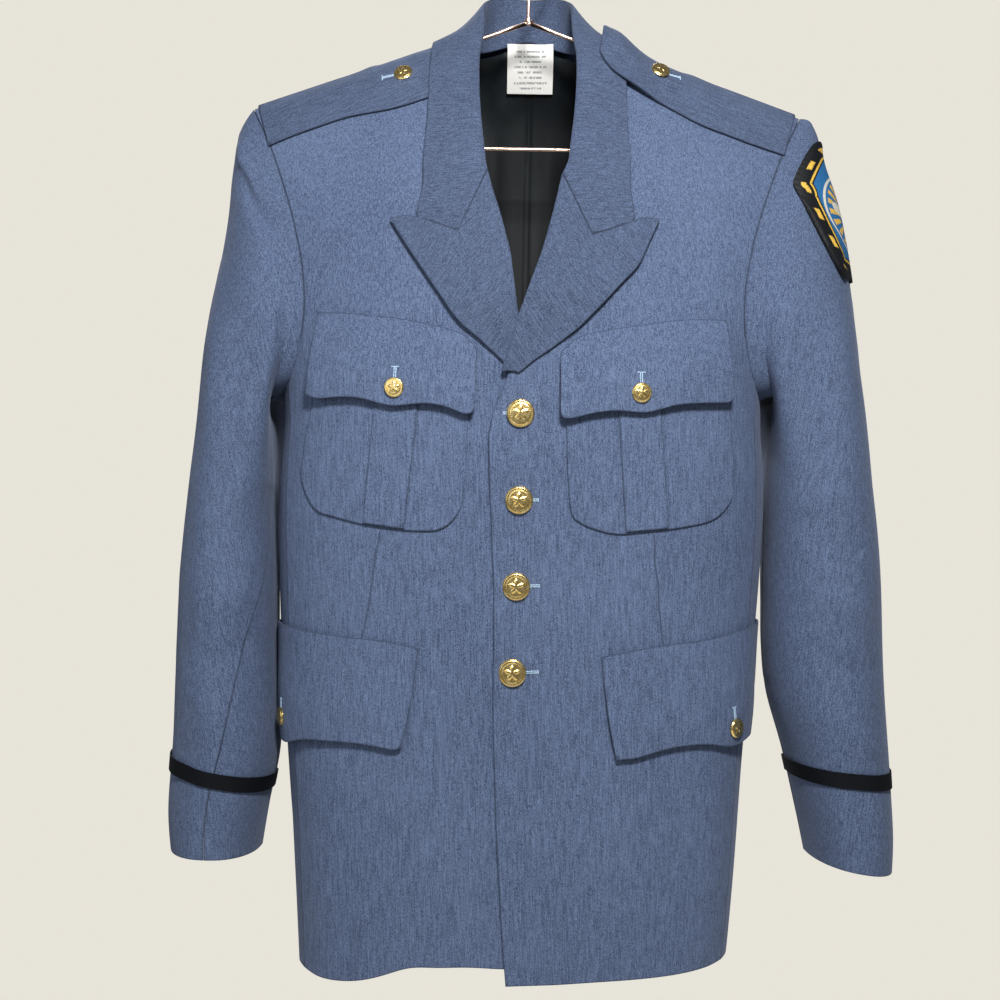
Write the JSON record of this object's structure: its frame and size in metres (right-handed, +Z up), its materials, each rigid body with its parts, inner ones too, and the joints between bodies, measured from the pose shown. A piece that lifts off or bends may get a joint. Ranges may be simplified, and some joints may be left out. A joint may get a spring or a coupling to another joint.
{
  "type": "military-style blazer",
  "caption": "Single-breasted uniform blazer with peak lapels, shoulder straps, flapped pockets, gold buttons and cuff braid, hanging open at the neck on a thin wire hanger.",
  "frame": {"origin": "inner top of the hanger's hook, where a rail holds it", "axes": "+Z up, the front faces -Y, the wearer's left is at +X"},
  "size_m": [0.622, 0.2168, 0.8933],
  "materials": {
    "wool": "heathered twill",
    "braid": "woven braid",
    "patch": "embroidered",
    "lining": "satin",
    "label": "woven tape",
    "button": "polished gilt",
    "wire": "rose gold plated"
  },
  "bodies": {
    "root": {"front_left": "wool", "front_right": "wool", "back_left": "wool", "back_right": "wool", "side_left": "wool", "side_right": "wool", "sleeve_top_left": "wool", "sleeve_top_right": "wool", "sleeve_under_left": "wool", "sleeve_under_right": "wool", "lapel_left": "wool", "lapel_right": "wool", "epaulette_left": "wool", "epaulette_right": "wool", "breast_pocket_left": "wool", "breast_pocket_right": "wool", "breast_pleat_left": "wool", "breast_pleat_right": "wool", "breast_flap_left": "wool", "breast_flap_right": "wool", "lower_flap_left": "wool", "lower_flap_right": "wool", "collar": "wool", "cuff_braid_left": "braid", "cuff_braid_right": "braid", "sleeve_patch": "patch", "lining_back": "lining", "neck_label": "label", "front_button_1": "button", "front_button_2": "button", "front_button_3": "button", "front_button_4": "button", "breast_button_left": "button", "breast_button_right": "button", "lower_button_left": "button", "lower_button_right": "button", "epaulette_button_left": "button", "epaulette_button_right": "button", "hanger_wire": "wire"}
  },
  "joints": []
}
